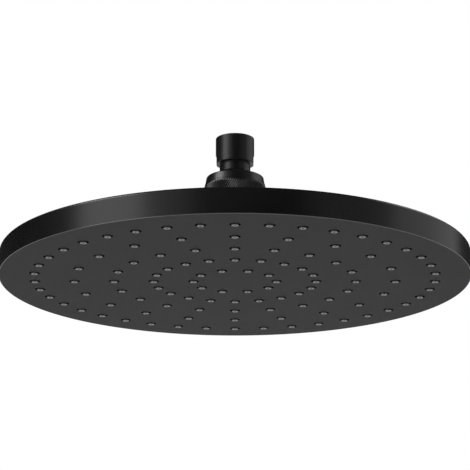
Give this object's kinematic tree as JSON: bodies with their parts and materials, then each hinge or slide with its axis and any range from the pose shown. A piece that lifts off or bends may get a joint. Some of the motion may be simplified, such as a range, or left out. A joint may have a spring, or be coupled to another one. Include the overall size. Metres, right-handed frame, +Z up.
{
  "type": "rain shower head",
  "caption": "Round overhead rain shower head with rings of soft nozzles, on a ball joint with a knurled lock nut and a threaded inlet connector.",
  "frame": {"origin": "on the head's axis, at the height of the nozzle tips", "axes": "+Z up along the head's axis to the inlet, +X to the right in the picture's view, the picture's camera on the -Y side"},
  "size_m": [0.3, 0.3, 0.0967],
  "materials": {
    "black_shell": "matte black moulded ABS with a fine grain",
    "silicone": "smooth black silicone",
    "black_brass": "turned brass with a satin black coating",
    "brass": "turned brass, bare",
    "grey_plastic": "moulded ABS, natural grey",
    "white_acetal": "machined acetal",
    "rubber_seals": "black EPDM rubber",
    "steel": "stainless steel"
  },
  "bodies": {
    "connector": {"swivel_connector": "black_brass", "filter_washer": "rubber_seals", "filter_mesh": "steel", "flow_regulator": "grey_plastic", "regulator_ring": "rubber_seals"},
    "ball_seal": {"ball_seal": "rubber_seals"},
    "seat_ring": {"seat_ring": "white_acetal"},
    "head": {"lock_nut": "black_brass", "slip_ring": "white_acetal", "dust_ring": "rubber_seals", "inlet_stem": "brass", "stem_gasket": "rubber_seals", "stem_screws": "steel", "top_cover": "black_shell", "chamber_cover": "grey_plastic", "chamber_gasket": "rubber_seals", "chamber_screws": "steel", "nozzle_retainer": "grey_plastic", "nozzle_mat": "silicone", "face_shell": "black_shell"}
  },
  "joints": [
    {"name": "tilt_front", "type": "hinge", "parent": "connector", "child": "ball_seal", "pos_m": [0, 0, 0.0636], "axis": [1, 0, 0], "range_deg": [-10, 10]},
    {"name": "tilt_side", "type": "hinge", "parent": "ball_seal", "child": "seat_ring", "pos_m": [0, 0, 0.0636], "axis": [0, 1, 0], "range_deg": [-10, 10]},
    {"name": "head_spin", "type": "hinge", "parent": "seat_ring", "child": "head", "pos_m": [0, 0, 0.0636], "axis": [0, 0, 1], "continuous": true}
  ]
}
